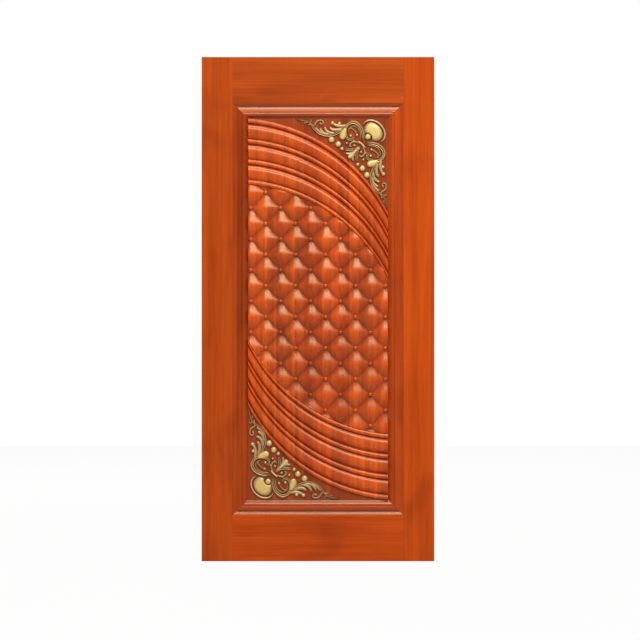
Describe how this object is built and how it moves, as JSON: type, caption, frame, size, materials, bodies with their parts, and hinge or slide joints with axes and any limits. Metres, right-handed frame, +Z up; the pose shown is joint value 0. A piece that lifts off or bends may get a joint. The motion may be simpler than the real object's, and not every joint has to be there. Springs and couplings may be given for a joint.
{
  "type": "carved wooden door leaf",
  "caption": "Entrance door leaf in stained wood: stiles and rails round a carved panel with curved bands, a quilted field with buttons and gilded scrollwork in two corners.",
  "frame": {"origin": "middle of the leaf's bottom edge, at mid-thickness", "axes": "+Z up the leaf, +X across its width to the right as seen from the carved face, -Y out of the carved face"},
  "size_m": [0.9144, 0.044, 1.9812],
  "materials": {
    "frame_wood": "glossy stained varnish",
    "panel_wood": "glossy stained varnish",
    "moulding_wood": "glossy stained varnish",
    "wedge_wood": "end grain under varnish",
    "gilding": "antique gold paint, dark in the recesses"
  },
  "bodies": {
    "root": {"left_stile": "frame_wood", "right_stile": "frame_wood", "bottom_rail": "frame_wood", "top_rail": "frame_wood", "carved_panel": "panel_wood", "left_tenon_1_upper_wedge": "wedge_wood", "left_tenon_1_lower_wedge": "wedge_wood", "left_tenon_2_upper_wedge": "wedge_wood", "left_tenon_2_lower_wedge": "wedge_wood", "left_tenon_3_upper_wedge": "wedge_wood", "left_tenon_3_lower_wedge": "wedge_wood", "left_tenon_4_upper_wedge": "wedge_wood", "left_tenon_4_lower_wedge": "wedge_wood", "right_tenon_1_upper_wedge": "wedge_wood", "right_tenon_1_lower_wedge": "wedge_wood", "right_tenon_2_upper_wedge": "wedge_wood", "right_tenon_2_lower_wedge": "wedge_wood", "right_tenon_3_upper_wedge": "wedge_wood", "right_tenon_3_lower_wedge": "wedge_wood", "right_tenon_4_upper_wedge": "wedge_wood", "right_tenon_4_lower_wedge": "wedge_wood", "front_top_moulding": "moulding_wood", "front_bottom_moulding": "moulding_wood", "front_left_moulding": "moulding_wood", "front_right_moulding": "moulding_wood", "back_top_moulding": "moulding_wood", "back_bottom_moulding": "moulding_wood", "back_left_moulding": "moulding_wood", "back_right_moulding": "moulding_wood", "upper_corner_ornament": "gilding", "lower_corner_ornament": "gilding"}
  },
  "joints": []
}
